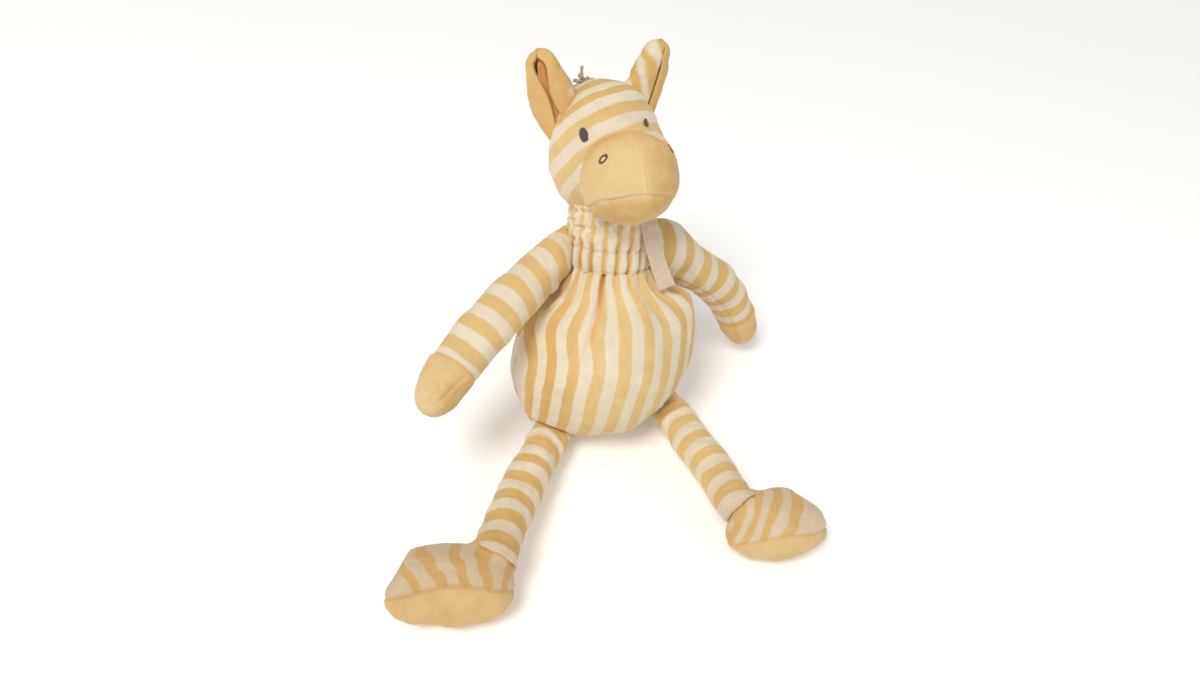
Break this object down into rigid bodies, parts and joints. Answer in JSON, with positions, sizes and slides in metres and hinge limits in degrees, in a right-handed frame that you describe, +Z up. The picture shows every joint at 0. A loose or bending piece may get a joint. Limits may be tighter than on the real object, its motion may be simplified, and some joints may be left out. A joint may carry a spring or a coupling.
{
  "type": "plush zebra",
  "caption": "Sitting plush zebra in yellow and cream striped velour, with a smocked neck, cupped ears, embroidered eyes, a cord mane and stuffed arms, legs and feet.",
  "frame": {"origin": "middle of the flat seat under the body, on the surface the toy sits on", "axes": "+Z up; -Y forward, the way the belly faces and the legs reach; the toy's own right side is -X"},
  "size_m": [0.3136, 0.282, 0.2473],
  "materials": {
    "yellow_velour": "matte",
    "striped_velour": "matte",
    "filling": "matte",
    "eye_thread": "matte",
    "nostril_thread": "matte",
    "woven_tape": "matte",
    "mane_cord": "matte",
    "sewing_thread": "matte"
  },
  "bodies": {
    "torso": {"body_front_panel": "striped_velour", "body_back_panel": "striped_velour", "body_stuffing": "filling"},
    "neck": {"neck_gathered_sleeve": "striped_velour", "neck_stuffing": "filling", "shirring_thread_lower": "sewing_thread", "shirring_thread_upper": "sewing_thread"},
    "label": {"label_tape": "woven_tape"},
    "head": {"head_panel_left": "striped_velour", "head_panel_right": "striped_velour", "muzzle_panel_left": "yellow_velour", "muzzle_panel_right": "yellow_velour", "chin_panel": "yellow_velour", "head_stuffing": "filling", "eye_right": "eye_thread", "eye_left": "eye_thread", "nostril_ring_right": "nostril_thread", "nostril_ring_left": "nostril_thread", "mane_cords": "mane_cord"},
    "ear_right": {"ear_right_outer": "striped_velour", "ear_right_lining": "yellow_velour"},
    "ear_left": {"ear_left_outer": "striped_velour", "ear_left_lining": "yellow_velour"},
    "arm_right": {"arm_right_sleeve": "striped_velour", "hand_right_cap": "yellow_velour", "arm_right_stuffing": "filling"},
    "arm_left": {"arm_left_sleeve": "striped_velour", "hand_left_cap": "yellow_velour", "arm_left_stuffing": "filling"},
    "leg_right": {"leg_right_sleeve": "striped_velour", "leg_right_stuffing": "filling"},
    "foot_right": {"foot_right_upper": "striped_velour", "foot_right_sole": "yellow_velour", "foot_right_stuffing": "filling"},
    "leg_left": {"leg_left_sleeve": "striped_velour", "leg_left_stuffing": "filling"},
    "foot_left": {"foot_left_upper": "striped_velour", "foot_left_sole": "yellow_velour", "foot_left_stuffing": "filling"},
    "tail": {"tail_strip": "striped_velour", "tail_tuft": "mane_cord"}
  },
  "joints": [
    {"name": "neck_nod", "type": "hinge", "parent": "torso", "child": "neck", "pos_m": [0.00779, 0.01714, 0.10524], "axis": [0.9903, -0.043, -0.1324], "range_deg": [-8, 10]},
    {"name": "head_turn", "type": "hinge", "parent": "neck", "child": "head", "pos_m": [0.01169, 0.0257, 0.13161], "axis": [0.1392, 0.306, 0.9418], "range_deg": [-40, 40]},
    {"name": "label_swing", "type": "hinge", "parent": "neck", "child": "label", "pos_m": [0.02769, 0.00199, 0.15246], "axis": [-0.9443, 0.1629, -0.2861], "range_deg": [-4, 50]},
    {"name": "ear_right_fold", "type": "hinge", "parent": "head", "child": "ear_right", "pos_m": [-0.01275, 0.05888, 0.20674], "axis": [0.0871, 0.9484, -0.3049], "range_deg": [-25, 8]},
    {"name": "ear_left_fold", "type": "hinge", "parent": "head", "child": "ear_left", "pos_m": [0.04101, 0.05499, 0.20998], "axis": [0.0871, 0.9484, -0.3049], "range_deg": [-8, 25]},
    {"name": "shoulder_right", "type": "hinge", "parent": "torso", "child": "arm_right", "pos_m": [-0.03176, 0.02296, 0.11344], "axis": [-0.5499, 0.8352, 0], "range_deg": [-5, 70]},
    {"name": "shoulder_left", "type": "hinge", "parent": "torso", "child": "arm_left", "pos_m": [0.04846, 0.01947, 0.10272], "axis": [0.0293, -0.9996, 0], "range_deg": [-4, 80]},
    {"name": "hip_right", "type": "hinge", "parent": "torso", "child": "leg_right", "pos_m": [-0.0405, -0.0242, 0.0145], "axis": [0, 0, -1], "range_deg": [-5, 30]},
    {"name": "ankle_right", "type": "hinge", "parent": "leg_right", "child": "foot_right", "pos_m": [-0.1097, -0.117, 0.03], "axis": [0.5938, 0.7963, -0.1158], "range_deg": [-5, 60]},
    {"name": "hip_left", "type": "hinge", "parent": "torso", "child": "leg_left", "pos_m": [0.039, -0.0217, 0.0152], "axis": [0, 0, 1], "range_deg": [-5, 30]},
    {"name": "ankle_left", "type": "hinge", "parent": "leg_left", "child": "foot_left", "pos_m": [0.0382, -0.1305, 0.0325], "axis": [-0.0073, -0.9902, 0.1393], "range_deg": [-5, 60]},
    {"name": "tail_lift", "type": "hinge", "parent": "torso", "child": "tail", "pos_m": [-0.00251, 0.04728, 0.0184], "axis": [1, 0, 0], "range_deg": [0, 20]}
  ]
}
